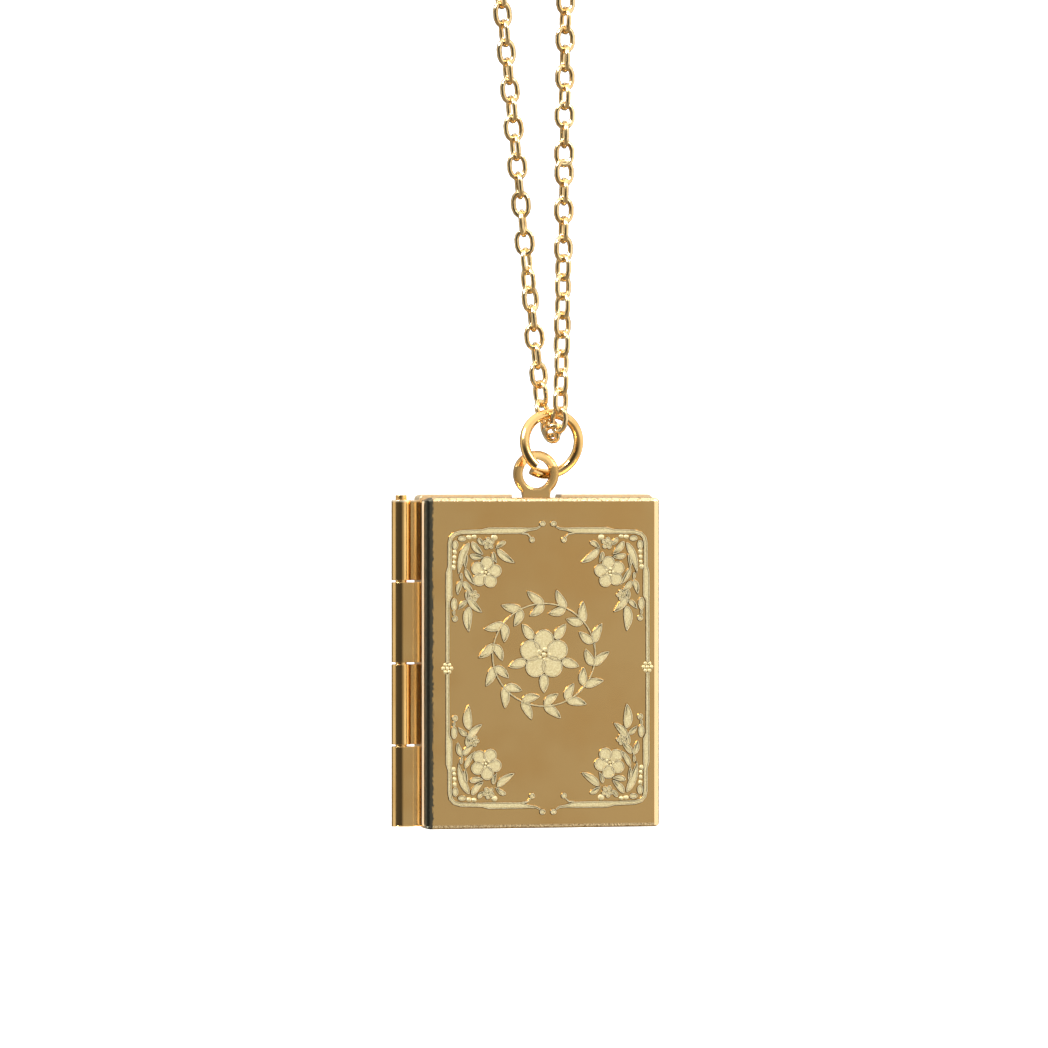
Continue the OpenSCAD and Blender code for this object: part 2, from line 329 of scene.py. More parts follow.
class CoverGold(Paint):
    """A cover's gold: polished faces, and rims painted pale as a highlight, with dull specks and
    fine dents.

    The corners low and high are those of the cover itself, without hinge and bail.
    """

    def __init__(self, name, low, high, case):
        super().__init__(name)
        self.at = self.parts(self.place)
        border = self.calc("MAXIMUM", self.beyond(self.at["X"], low.x, high.x),
                           self.beyond(self.at["Z"], low.z, high.z))
        self.near_face = self.fade(self.at["Y"], low.y, case.highlight_rim, RIM_DEPTH)
        self.highlight_rim = self.all_of(self.fade(border, 0, -case.highlight_rim, RIM_INSIDE), self.near_face,
                               self.fade(border, 0, case.highlight_rim, RIM_OUTSIDE))
        self.not_hinge = self.fade(self.at["X"], low.x, MM, NOT_HINGE)
        self.wall = self.all_of(self.fade(self.at["X"], low.x, MM, WALL), self.not_hinge)
        patches = self.step(self.noise(*FACE_PATCHES), *PATCH_FADE)
        self.specks = self.step(self.noise(*RIM_SPECKS), *SPECK_FADE)
        self.gold = self.blend(patches, case.polish, case.deep)
        self.rough = self.mixed(patches, case.roughness, case.roughness + PATCH_ROUGHER)
        # Painted highlight: the rims are pale gold with dull specks
        highlight_rim_gold = self.blend(self.specks, case.pale, case.worn)
        self.mark(self.highlight_rim, highlight_rim_gold, RIM_ROUGHNESS)

    def beyond(self, value, low, high):
        """How far a value lies outside its two ends."""
        off = self.calc("ABSOLUTE", self.calc("SUBTRACT", value, (low + high) / 2))
        return self.calc("SUBTRACT", off, (high - low) / 2)

    def fade(self, value, origin, width, shares):
        """Rises from 0 to 1 between two places, in shares of a width from an origin."""
        first, second = shares
        return self.step(value, origin + width * first, origin + width * second)

    def slant(self, end, value, width):
        """Falls evenly from 1 to 0 over a width, as the value rises to the end."""
        return self.calc("DIVIDE", self.calc("SUBTRACT", end, value), width, clamp=True)

    def mark(self, mask, gold, roughness=None):
        """Lays another gold over the finish where a mask holds."""
        self.gold = self.blend(mask, self.gold, gold)
        if roughness:
            self.rough = self.mixed(mask, self.rough, roughness)

    def relief(self, edge_radius):
        """Normals with worn edges, slow waves, fine scratches and the rim's dents."""
        waved = self.bump(self.noise(*FACE_WAVES), WAVE_DEPTH, self.soft_edges(edge_radius))
        scratched = self.bump(self.noise(*FACE_SCRATCHES), SCRATCH_DEPTH, waved)
        dents = self.all_of(self.highlight_rim, self.noise(*RIM_DENTS))
        return self.bump(dents, DENT_DEPTH, scratched)

    def finish(self, metal, normal):
        self.set(Base_Color=self.gold, Metallic=metal, Roughness=self.rough, Normal=normal)
        return self.material


def front_gold(low, high, case):
    """The front cover's gold: a painted dark reflection on the bend, a pale line behind it and a
    pale side, both painted highlights, and a lip.
    """
    paint = CoverGold("front_cover_gold", low, high, case)
    at = paint.at
    # Painted dark reflection on the bend at the hinge side, with a ragged edge
    ragged = paint.calc("MULTIPLY", paint.noise(*BEND_RAGS), case.bend * BEND_RAGGED)
    inward = paint.calc("SUBTRACT", paint.calc("SUBTRACT", at["X"], low.x), ragged)
    bend = paint.all_of(paint.fade(inward, 0, case.bend, BEND_EDGE),
                        paint.fade(at["Y"], low.y, case.painted_dark_depth, PAINTED_DARK_END),
                        paint.not_hinge)
    paint.mark(bend, case.painted_dark_spine)
    # Painted highlight: a pale, rougher line on the wall behind the dark bend
    line = paint.all_of(paint.fade(at["Y"], low.y, case.painted_dark_depth, LINE_START),
                        paint.fade(at["Y"], low.y, case.painted_dark_depth, LINE_END), paint.wall)
    paint.mark(line, case.strip, LINE_ROUGHNESS)
    # Painted highlight: the opening side is pale gold, and the slant bump below really leans it
    side = paint.all_of(paint.fade(at["X"], high.x, -case.side_strip, SIDE_EDGE),
                        paint.near_face)
    paint.mark(side, case.pale, SIDE_ROUGHNESS)
    lip = paint.slant(low.z + case.lip, at["Z"], case.lip)
    lipped = paint.bump(lip, case.lip * LIP_SLOPE, paint.relief(EDGE_WEAR))
    slant = paint.slant(high.x, at["X"], case.side_strip)
    return paint.finish(paint.mixed(line, 1.0, LINE_METAL),
                        paint.bump(slant, case.side_strip * SIDE_SLOPE, lipped))


def back_gold(low, high, case):
    """The back cover's gold: a pale edge over and beside the front cover, painted as a highlight,
    and a worn bail.
    """
    paint = CoverGold("back_cover_gold", low, high, case)
    at = paint.at
    across = paint.calc("SUBTRACT", at["X"], (low.x + high.x) / 2)
    # Painted highlight: pale strips along the back cover's top and its side by the front cover
    top = paint.all_of(paint.fade(at["Z"], high.z, MM, STRIP_BOTTOM),
                       paint.fade(at["Z"], high.z, MM, STRIP_TOP),
                       paint.fade(paint.calc("ABSOLUTE", across), 0, MM, BESIDE_BAIL))
    side = paint.all_of(paint.wall, paint.fade(at["Y"], low.y, MM, WALL_FRONT))
    strip_highlight_gold = paint.blend(paint.specks, case.strip, case.pale)
    paint.mark(paint.calc("MAXIMUM", top, side), strip_highlight_gold, STRIP_ROUGHNESS)
    bail = paint.fade(at["Z"], high.z, MM, BAIL_START)
    bail_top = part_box("back_cover")[1][2]
    crown = paint.slant(bail_top, at["Z"], case.bail_crown)
    relief = paint.relief(paint.mixed(bail, EDGE_WEAR, case.bail_edge))
    return paint.finish(1.0, paint.bump(crown, case.bail_crown * CROWN_SLOPE, relief))


def dress(node, material):
    """Puts one material on a CAD node."""
    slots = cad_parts[node].material_slots
    if not slots:
        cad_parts[node].data.materials.append(material)
    for slot in slots:
        slot.material = material


def make_object(name, bm, materials):
    """Turns a bmesh into an object of the scene."""
    mesh = bpy.data.meshes.new(name)
    bm.to_mesh(mesh)
    bm.free()
    for material in materials:
        mesh.materials.append(material)
    made = bpy.data.objects.new(name, mesh)
    bpy.context.scene.collection.objects.link(made)
    return made


def make_piece(name, bm, materials, body):
    """Turns a bmesh into a piece that rides on a body."""
    piece = make_object(name, bm, materials)
    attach(piece, body)
    return piece


# The border's upper right quarter, in mm from the ornament's middle. Each row begins with a
# place across and up. Leaves: foot, tip and width
LEAVES = [
    (6.50, 10.05, 7.40, 7.50, 0.66), (6.33, 10.10, 5.30, 9.00, 0.60),
    (3.45, 10.10, 4.35, 9.50, 0.50), (4.25, 9.50, 2.70, 8.36, 0.68),
    (4.55, 9.30, 4.25, 8.36, 0.44), (6.50, 9.00, 5.30, 8.86, 0.54),
    (6.71, 9.10, 6.80, 7.90, 0.44), (6.85, 8.00, 6.00, 6.60, 0.52),
    (7.10, 7.05, 7.46, 5.80, 0.54), (6.98, 6.95, 6.10, 5.98, 0.58),
    (6.60, 5.66, 5.40, 4.40, 0.66), (6.52, 4.95, 6.52, 2.85, 0.80),
    (6.65, 5.39, 7.42, 4.66, 0.50), (5.80, 10.40, 5.20, 9.75, 0.46),
    (7.16, 7.65, 7.08, 6.95, 0.34), (6.60, 6.30, 6.66, 5.30, 0.40),
    (7.74, 4.70, 7.70, 4.05, 0.30),
]
# Place, half width and half height
PETALS = [
    (7.09, 10.32, 0.38, 0.27), (7.64, 9.81, 0.29, 0.42), (7.74, 5.10, 0.30, 0.56),
    (0.45, 11.50, 0.29, 0.26), (1.32, 10.22, 0.27, 0.28), (7.66, 3.96, 0.28, 0.30),
]
# Place, reach of the petals, half length and half width of a petal, and turn in radians
FLOWERS = [
    (5.12, 7.62, 0.74, 0.60, 0.58, 0.45), (4.92, 9.93, 0.30, 0.26, 0.24, 0.20),
    (6.12, 5.78, 0.27, 0.24, 0.22, 0.60),
]
# Place, half width and half height
BEADS = [
    (4.42, 10.40, 0.28, 0.26), (6.50, 10.44, 0.24, 0.19), (6.08, 10.48, 0.22, 0.18),
    (7.68, 9.25, 0.19, 0.22), (7.70, 8.82, 0.18, 0.20), (7.72, 8.42, 0.17, 0.19),
    (7.78, 8.04, 0.22, 0.22),
]
# Places along a band, and its width
BAND = [
    (0.62, 11.30, 0.20), (0.95, 11.12, 0.26), (1.60, 11.04, 0.34), (2.20, 10.96, 0.56),
    (4.90, 10.95, 0.60), (5.45, 10.88, 0.44), (7.20, 10.84, 0.40), (7.72, 10.68, 0.40),
    (8.00, 10.38, 0.40), (8.10, 9.90, 0.40), (8.10, 8.10, 0.40), (8.16, 7.60, 0.60),
    (8.16, 5.75, 0.62), (8.26, 5.30, 0.38), (8.28, 0.40, 0.34),
]
SCROLL = [
    (2.20, 10.74, 0.18), (1.70, 10.68, 0.20), (1.42, 10.40, 0.18),
]
# Rises between forms that overlap, before they start again
LIFT_STEPS = 5
PAD_SIDES = 18
# How a leaf narrows towards its tip, and at both ends, and how far it curves
LEAF_TAPER = 0.3
LEAF_ENDS = 0.25
LEAF_CURVE = 0.12
# Height of a bead's dome in heights of the ornament, and its sides round and up
BEAD_DOME = 1.3
BEAD_SIDES = (12, 6)
# Shares of a bloom's radius: way out to its beads, size of a bead and of the middle one
BLOOM = (0.68, 0.36, 0.34)
BLOOM_BEADS = 6
FLOWER_PETALS = 5
# Share of a flower's reach that its beaded middle fills
FLOWER_MIDDLE = 0.55
# Blooms at the border's sides: way from the middle, and radius, in mm
SIDE_BLOOM = (8.28, 0.48)
# The wreath: place across and up, radius across and up, in mm, and pairs of leaves
WREATH = (-0.33, 1.04, 4.25, 4.1)
WREATH_PAIRS = 14
STEM_WIDTH = 0.2
# Columns: lean away from the stem in radians, and length in mm, of a pair's two leaves
WREATH_LEAVES = ((0.62, 1.75), (-0.70, 1.6))
WREATH_LEAF_WIDTH = 0.78
# Leaves between the wreath's petals: way from the middle to foot and tip, and width, in mm
STAR_LEAF = (1.5, 3.1, 0.85)
# The wreath's flower: reach, half length and half width of a petal, in mm, and its turn
WREATH_FLOWER = (1.15, 0.92, 0.88, math.pi / 2)
# Distance below which doubled points of the ornament are merged, in mm
MERGE = 0.0005


def away(x, y, radius, turn, radius_up=None):
    """The place so far off a middle, at a turn: an oval's if a second radius is given."""
    up = radius if radius_up is None else radius_up
    return x + radius * math.cos(turn), y + up * math.sin(turn)


class Ornament:
    """Raised ornament, drawn in millimetres in a flat plane that is stood up afterwards."""

    def __init__(self, sizes):
        self.bm = bmesh.new()
        self.sizes = sizes
        self.pads = 0

    def raise_pad(self, faces):
        """Gives flat faces a sloped side in painted shade, a bright outline and a grainy sunk
        middle.
        """
        sizes = self.sizes
        for face in faces:
            face.normal_update()
        if sum(face.normal.z for face in faces) < 0:
            bmesh.ops.reverse_faces(self.bm, faces=faces)
        under = bmesh.ops.duplicate(self.bm, geom=faces)["geom"]
        under = [part for part in under if isinstance(part, bmesh.types.BMFace)]
        bmesh.ops.reverse_faces(self.bm, faces=under)
        self.pads += 1
        lift = sizes.lift * (self.pads % LIFT_STEPS)
        steps = (
            (sizes.slope, sizes.height + lift, SHADE),
            (sizes.outline, 0.0, BRIGHT),
            (sizes.slope / 2, -sizes.dip, SHADE),
        )
        for width, rise, material in steps:
            ring = bmesh.ops.inset_region(self.bm, faces=faces, thickness=width / MM,
                                          depth=rise / MM, use_even_offset=False,
                                          use_boundary=True)
            for face in ring["faces"]:
                face.material_index = material
        for face in faces + under:
            face.material_index = GRAIN

    def pad(self, outline, x, y, turn):
        """A pad at a place, on a round outline that a function shapes."""
        made = bmesh.ops.create_circle(self.bm, cap_ends=True, segments=PAD_SIDES, radius=1)
        for vert in made["verts"]:
            vert.co = outline(vert.co)
        place = Matrix.Translation((x, y, 0)) @ Matrix.Rotation(turn, 4, "Z")
        bmesh.ops.transform(self.bm, matrix=place, verts=made["verts"])
        self.raise_pad(list(made["verts"][0].link_faces))

    def leaf(self, x1, y1, x2, y2, width, curve=LEAF_CURVE):
        """A leaf from its foot to its tip, widest near the foot."""
        along = Vector((x2 - x1, y2 - y1, 0))
        half = along.length / 2

        def outline(co):
            narrow = 1 - LEAF_TAPER * co.x - LEAF_ENDS * co.x ** 4
            arch = curve * half * (1 - co.x ** 2)
            return Vector((co.x * half, co.y * width / 2 * narrow + arch, 0))

        self.pad(outline, (x1 + x2) / 2, (y1 + y2) / 2, math.atan2(along.y, along.x))

    def petal(self, x, y, half_width, half_height, turn=0.0):
        self.pad(lambda co: Vector((co.x * half_width, co.y * half_height, 0)), x, y, turn)

    def bead(self, x, y, half_width, half_height):
        """A low dome, sunk to half its height."""
        place = Matrix.Translation((x, y, 0))
        dome = self.sizes.height / MM * BEAD_DOME
        size = Matrix.Diagonal((half_width, half_height, dome, 1))
        around, up = BEAD_SIDES
        made = bmesh.ops.create_uvsphere(self.bm, u_segments=around, v_segments=up, radius=1,
                                         matrix=place @ size)
        faces = {face for vert in made["verts"] for face in vert.link_faces}
        for face in faces:
            face.material_index = GRAIN
            face.smooth = True

    def bloom(self, x, y, radius, beads=BLOOM_BEADS):
        """A small round bloom of beads."""
        reach, size, middle = (radius * share for share in BLOOM)
        for k in range(beads):
            self.bead(*away(x, y, reach, math.tau * k / beads), size, size)
        self.bead(x, y, middle, middle)

    def flower(self, x, y, reach, half_length, half_width, turn=0.0):
        """Petals that overlap, round a beaded middle."""
        for k in range(FLOWER_PETALS):
            out = turn + math.tau * k / FLOWER_PETALS
            self.petal(*away(x, y, reach, out), half_length, half_width, out)
        self.bloom(x, y, reach * FLOWER_MIDDLE, FLOWER_PETALS)

    def band(self, rows):
        """A raised band along a row of places, each with its own width."""
        last = len(rows) - 1
        made = bmesh.ops.create_grid(self.bm, x_segments=last, y_segments=1, size=1)
        points = [Vector((x, y, 0)) for x, y, width in rows]
        for vert in made["verts"]:
            i = round((vert.co.x + 1) / 2 * last)
            along = (points[min(i + 1, last)] - points[max(i - 1, 0)]).normalized()
            across = Vector((-along.y, along.x, 0))
            side = 1 if vert.co.y > 0 else -1
            vert.co = points[i] + across * side * rows[i][2] / 2
        faces = {face for vert in made["verts"] for face in vert.link_faces}
        self.raise_pad(sorted(faces, key=lambda face: face.index))

    def corner(self):
        """One quarter of the floral border, up and to the right of the middle."""
        self.band(BAND)
        self.band(SCROLL)
        for draw, rows in ((self.leaf, LEAVES), (self.petal, PETALS),
                           (self.flower, FLOWERS), (self.bead, BEADS)):
            for row in rows:
                draw(*row)

    def mirror(self, axis):
        """Adds the mirrored copy of all that is drawn so far."""
        geom = self.bm.verts[:] + self.bm.edges[:] + self.bm.faces[:]
        bmesh.ops.mirror(self.bm, geom=geom, axis=axis, merge_dist=0)

    def wreath(self, x, y, radius_across, radius_up):
        """Leaf pairs on a round stem, and a flower with leaves between its petals."""
        stem = []
        for k in range(4 * WREATH_PAIRS + 1):
            turn = math.tau * (k + 2) / (4 * WREATH_PAIRS)
            stem.append((*away(x, y, radius_across, turn, radius_up), STEM_WIDTH))
        self.band(stem)
        for k in range(WREATH_PAIRS):
            turn = math.tau * (k + 0.5) / WREATH_PAIRS
            foot = away(x, y, radius_across, turn, radius_up)
            for lean, reach in WREATH_LEAVES:
                tip = away(*foot, reach, turn + math.pi / 2 - lean)
                self.leaf(*foot, *tip, WREATH_LEAF_WIDTH)
        near, far, width = STAR_LEAF
        for k in range(FLOWER_PETALS):
            out = math.pi / 2 + math.tau * (k + 0.5) / FLOWER_PETALS
            self.leaf(*away(x, y, near, out), *away(x, y, far, out), width, 0.0)
        self.flower(x, y, *WREATH_FLOWER)


class LOCKET_OT_case(bpy.types.Operator):
    """Finishes the covers, the hinge pin and the jump ring"""

    bl_idname = "locket.finish_case"
    bl_label = "Finish the case"

    def execute(self, context):
        case = context.scene.locket_case
        for node, cover_gold in (("front_cover", front_gold), ("back_cover", back_gold)):
            low, high = (Vector(corner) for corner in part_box(node))
            low.x = high.x - case.cover_width
            # The back cover's own box reaches up to the bail's top
            high.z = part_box("front_cover")[1][2]
            dress(node, cover_gold(low, high, case))
        dress("hinge_pin", worn_gold("pin_gold", case, *PIN_FINISH))
        dress("jump_ring", worn_gold("ring_gold", case, *RING_FINISH))
        return {"FINISHED"}


# Finishes of the engraving: name, two colours, size and detail of the patches, levels of
# noise at which they fade in, metal, roughness, size, detail and depth of the bumps, in mm
ENGRAVING_FINISHES = (
    ("grain", "fleck", "grain", 0.13, 3.0, (0.35, 0.7), 0.8, 0.55, 0.1, 3.0, 0.03),
    ("outline", "bright", "dull", 0.3, 3.0, (0.4, 0.7), 0.9, 0.38, 0.12, 2.0, 0.012),
    # The sides' colours are painted shade
    ("side", "shade", "half_shade", 0.25, 2.0, (0.4, 0.6), 1.0, 0.4, 0.1, 2.0, 0.0),
)
GRAIN, BRIGHT, SHADE = range(3)


class LOCKET_OT_engraving(bpy.types.Operator):
    """Makes the raised floral border and wreath on the front cover"""

    bl_idname = "locket.make_engraving"
    bl_label = "Make the engraving"

    def execute(self, context):
        sizes = context.scene.locket_engraving
        case = context.scene.locket_case
        low, high = (Vector(corner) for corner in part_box("front_cover"))
        ornament = Ornament(sizes)
        bm = ornament.bm
        ornament.corner()
        ornament.mirror("X")
        ornament.mirror("Y")
        reach, radius = SIDE_BLOOM
        for side in (-1, 1):
            ornament.bloom(reach * side, 0, radius)
        ornament.wreath(*WREATH)
        bmesh.ops.remove_doubles(bm, verts=bm.verts, dist=MERGE)
        bmesh.ops.recalc_face_normals(bm, faces=bm.faces)
        middle = Vector((high.x - case.cover_width / 2 + sizes.shift_right, low.y,
                         (low.z + high.z) / 2 - sizes.shift_down))
        place = Matrix.Translation(middle) @ Matrix.Rotation(math.pi / 2, 4, "X")
        bmesh.ops.transform(bm, matrix=place @ Matrix.Scale(MM, 4), verts=bm.verts)
        finishes = [self.finish(sizes, *row) for row in ENGRAVING_FINISHES]
        make_piece("engraving", bm, finishes, "locket_front")
        return {"FINISHED"}

    def finish(self, sizes, name, first, second, patch, patch_detail, fade, metal, roughness,
               bump, bump_detail, depth):
        paint = Paint("engraving_" + name)
        patches = paint.step(paint.noise(patch * MM, patch_detail), *fade)
        gold = paint.blend(patches, getattr(sizes, first), getattr(sizes, second))
        paint.set(Base_Color=gold, Metallic=metal, Roughness=roughness)
        if depth:
            paint.set(Normal=paint.bump(paint.noise(bump * MM, bump_detail), depth * MM))
        return paint.material


# Close points along a strand, and along the arc above it
STRAND_STEPS = 400
ARC_STEPS = 100
# Slope at which the strands tuck in below the ring's wire, and where that ends
TUCK = 0.3
TUCK_END = -1.2 * MM
# Slope at which the back strand's lowest link crosses to the front strand
BACK_SHIFT = 0.19


def ease(t):
    """Rises smoothly from 0 to 1."""
    t = min(max(t, 0.0), 1.0)
    return t * t * (3 - 2 * t)


class Route:
    """The chain's route: two strands that lean apart, and the arc that both run into.

    A side is -1 for the left strand and 1 for the right one.
    """

    def __init__(self, chain, clasp_box):
        low, high = (Vector(corner) for corner in clasp_box)
        self.chain = chain
        half_open = (chain.left_lean + chain.right_lean) / 2
        lean = (chain.left_lean - chain.right_lean) / 2
        arc = 2 * math.tan(half_open) * (math.pi / 2 + half_open)
        self.length = chain.loop / (2 + arc)
        self.radius = self.length * math.tan(half_open)
        end = (high.x - low.x) / 2 + chain.clasp_gap
        self.clasp_angle = math.asin(end / self.radius)
        middle = (low.z + high.z) / 2
        self.centre = Vector((0, 0, middle - self.radius * math.cos(self.clasp_angle)))
        reach = self.length / math.cos(half_open)
        self.foot = self.centre + reach * Vector((math.sin(lean), 0, -math.cos(lean)))
        turn = chain.strand_turn
        self.across = Vector((-math.sin(turn), math.cos(turn), 0))

    def lean(self, side):
        return self.chain.left_lean if side < 0 else self.chain.right_lean

    def strand_point(self, side, height):
        """A point of a strand at a height above the foot, where the two lines meet."""
        off = self.chain.bend * (1 - ease(height / self.chain.part_height))
        off += TUCK * max(min(height, 0), TUCK_END)
        up = Vector((side * height * math.tan(self.lean(side)), 0, height))
        if side < 0:
            up.x -= BACK_SHIFT * min(height, 0)
        return self.foot + up - side * off * self.across

    def arc_point(self, turn):
        return self.centre + self.radius * Vector((math.cos(turn), 0, math.sin(turn)))

    def side_points(self, side, start):
        """Close points from a height near the ring up one strand and round to the clasp."""
        top = self.length * math.cos(self.lean(side))
        heights = [start + (top - start) * i / STRAND_STEPS for i in range(STRAND_STEPS)]
        points = [self.strand_point(side, height) for height in heights]
        first = math.pi / 2 - side * (math.pi / 2 + self.lean(side))
        last = math.pi / 2 - side * self.clasp_angle
        turns = [first + (last - first) * i / ARC_STEPS for i in range(ARC_STEPS + 1)]
        return points + [self.arc_point(turn) for turn in turns]


def walk(points, spacing, total):
    """Places and directions at an even spacing along close points."""
    travelled = wanted = 0.0
    for first, second in zip(points, points[1:]):
        step = (second - first).length
        while wanted <= travelled + step and wanted <= total:
            share = (wanted - travelled) / step if step else 0
            yield first.lerp(second, share), (second - first).normalized()
            wanted += spacing
        travelled += step


# Share of an oval in a link's outline: the rest is two half rounds with straight sides
OVAL = 0.7
# Sides round an end ring, and round its wire
END_RING_SIDES = (16, 8)
# Rolls in degrees of each strand's lowest links, from the ring up, turned to the front
LEFT_ROLLS = (-38, 50, -50, 33, -74, 10, -76, 40, -52, 66, -8, 80, -20)
RIGHT_ROLLS = (-38, 48, -50, 52, -42, 40, -48, 44, -46, 28, -72, 20, -74, 24)
ROLL_FRONT = -15
# Rolls in degrees of the links above: slow drift, its length, and small turns by chance
DRIFT = 25
DRIFT_LENGTH = 19 * MM
CHANCE_ROLL = 8
# Columns: side, height of the lowest link above the foot, rolls of the lowest links
STRANDS = ((-1, -1.30 * MM, LEFT_ROLLS), (1, -0.50 * MM, RIGHT_ROLLS))
# The link that joins the strands below the ring's wire: its place from the foot, its way
LOW_LINK_PLACE = Vector((0.12, 0, -1.33)) * MM
LOW_LINK_WAY = Vector((0, 1, -0.45))
# Wires from the far wall of the clasp's eye or mouth to the end ring's middle line
EYE_WIRES = 0.75
MOUTH_WIRES = 1.75
# Share of the full spacing, so that the last link isn't lost to rounding
SPACING_SHARE = 0.99999
# Links whose way lies flatter than this turn from the upright way instead
FLAT_WAY = 0.8


def oval_link(sides, wire_sides, outer_length, outer_width, wire):
    """One oval link about the origin, long in Z and wide in X."""
    bm = bmesh.new()
    radius = (outer_width - wire) / 2
    stretch = (outer_length - outer_width) / 2
    made = bmesh.ops.create_circle(bm, segments=wire_sides, radius=wire / 2,
                                   matrix=Matrix.Translation((radius, 0, 0)))
    bmesh.ops.rotate(bm, verts=made["verts"], cent=(0, 0, 0),
                     matrix=Matrix.Rotation(math.pi / sides, 3, "Y"))
    bmesh.ops.spin(bm, geom=bm.edges[:], cent=(0, 0, 0), axis=(0, 1, 0), dvec=(0, 0, 0),
                   angle=math.tau, steps=sides, use_merge=True, use_duplicate=False)
    bmesh.ops.remove_doubles(bm, verts=bm.verts, dist=wire / 100)
    for vert in bm.verts:
        rise = math.sin(math.atan2(vert.co.z, vert.co.x))
        straight = math.copysign(stretch, rise)
        vert.co.z += OVAL * stretch * rise + (1 - OVAL) * straight
    bmesh.ops.recalc_face_normals(bm, faces=bm.faces)
    for face in bm.faces:
        face.smooth = True
    mesh = bpy.data.meshes.new("link_pattern")
    bm.to_mesh(mesh)
    bm.free()
    return mesh


def link_matrix(place, along, wide, roll=0.0):
    """Sets a link at a place, long along one way, and rolled from the wide way."""
    up = along.normalized()
    side = (wide - wide.dot(up) * up).normalized()
    side = Matrix.Rotation(roll, 3, up) @ side
    turn = Matrix((side, up.cross(side), up)).transposed()
    return Matrix.Translation(place) @ turn.to_4x4()


class LOCKET_OT_chain(bpy.types.Operator):
    """Makes the chain's interlocking links and the round ring at each end"""

    bl_idname = "locket.make_chain"
    bl_label = "Make the chain"

    def execute(self, context):
        chain = context.scene.locket_chain
        route = Route(chain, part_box("clasp"))
        draw = random.Random(chain.seed)
        bm = bmesh.new()
        link = oval_link(chain.sides, chain.wire_sides, chain.link_length, chain.link_width,
                         chain.wire)
        ring = oval_link(*END_RING_SIDES, chain.end_ring, chain.end_ring, chain.end_wire)
        low_link = link_matrix(route.foot + LOW_LINK_PLACE, LOW_LINK_WAY, Vector((1, 0, 0)))
        self.add(bm, link, low_link)
        for side, start, rolls in STRANDS:
            hook = self.hook(chain, context.scene.locket_clasp, side)
            points = self.strand_points(chain, route.side_points(side, start), hook)
            for place, along, wide, roll in self.strand(chain, points, rolls, draw):
                self.add(bm, link, link_matrix(place, along, wide, roll))
            outward = (points[-1] - hook).normalized()
            middle = hook + outward * (chain.end_ring - chain.end_wire) / 2
            self.add(bm, ring, link_matrix(middle, outward, Vector((0, 1, 0))))
        bpy.data.meshes.remove(link)
        bpy.data.meshes.remove(ring)
        gold = worn_gold("chain_gold", chain, *CHAIN_FINISH)
        piece = make_piece("chain_links", bm, [gold], "necklace")
        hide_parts("chain")
        return {"FINISHED"}

    def add(self, bm, mesh, matrix):
        """Adds a copy of a link to the chain."""
        before = len(bm.verts)
        bm.from_mesh(mesh)
        bm.verts.ensure_lookup_table()
        bmesh.ops.transform(bm, matrix=matrix, verts=bm.verts[before:])

    def hook(self, chain, clasp, side):
        """Where an end ring's wire hangs: in the clasp's eye, left, or its mouth, right."""
        low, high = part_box("clasp")
        if side < 0:
            x = -clasp.eye_middle - clasp.eye_hole / 2 + chain.end_wire * EYE_WIRES
        else:
            x = clasp.mouth_end - chain.end_wire * MOUTH_WIRES
        return Vector((x, 0, (low[2] + high[2]) / 2))

    def strand_points(self, chain, points, hook):
        """The route's points up to the place where the end ring takes over."""
        grip = chain.link_length / 2 - chain.wire - chain.end_wire / 2
        reach = chain.end_ring - chain.end_wire + grip
        return [point for point in points if (point - hook).length > reach]

    def strand(self, chain, points, rolls, draw):
        """Place, way, wide way and roll of each link of a strand, from the ring up."""
        total = sum((b - a).length for a, b in zip(points, points[1:]))
        spacing = total / math.ceil(total / chain.pitch) * SPACING_SHARE
        wide = Vector((1, 0, 0))
        for k, (place, along) in enumerate(walk(points, spacing, total)):
            above = k - len(rolls)
            if above < 0:
                roll = rolls[k] + ROLL_FRONT
            else:
                drift = DRIFT * math.sin(above * chain.pitch / DRIFT_LENGTH)
                roll = drift + 90 * (k % 2) + draw.uniform(-CHANCE_ROLL, CHANCE_ROLL)
            if abs(along.x) > FLAT_WAY:
                wide = Vector((0, 0, 1))
            yield place, along, wide, math.radians(roll)


# Distance below which doubled points of the clasp are merged
CLASP_MERGE = 0.001 * MM
# Faces that bend less are joined, and edges that bend more are worn round
FLAT_BEND = math.radians(2)
SHARP_BEND = math.radians(40)
EDGE_SEGMENTS = 3


class LOCKET_OT_clasp(bpy.types.Operator):
    """Makes the claw clasp with soft worn edges"""

    bl_idname = "locket.make_clasp"
    bl_label = "Make the clasp"

    def execute(self, context):
        clasp = context.scene.locket_clasp
        case = context.scene.locket_case
        bm = bmesh.new()
        bm.from_mesh(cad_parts["clasp"].data)
        bmesh.ops.remove_doubles(bm, verts=bm.verts, dist=CLASP_MERGE)
        bmesh.ops.dissolve_limit(bm, angle_limit=FLAT_BEND, verts=bm.verts, edges=bm.edges)
        sharp = [edge for edge in bm.edges if len(edge.link_faces) == 2
                 and edge.calc_face_angle(0) > SHARP_BEND]
        bmesh.ops.bevel(bm, geom=sharp, offset=clasp.edge, affect="EDGES",
                        segments=EDGE_SEGMENTS, profile=0.5, material=-1, clamp_overlap=True)
        bmesh.ops.triangulate(bm, faces=bm.faces)
        for face in bm.faces:
            face.smooth = False
        gold = worn_gold("clasp_gold", case, *CLASP_FINISH)
        piece = make_piece("claw_clasp", bm, [gold], "necklace")
        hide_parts("clasp")
        return {"FINISHED"}


# Columns: azimuth from the front in degrees, and brightness of the studio there
STUDIO_ROUND = [
    (-180, 0.34), (-155, 0.32), (-140, 0.08), (-120, 0.85), (-90, 0.80), (-76, 0.08), (-8, 0.06),
    (6, 0.36), (19, 0.48), (26, 1.10), (112, 1.25), (136, 0.22), (152, 0.16), (180, 0.34),
]
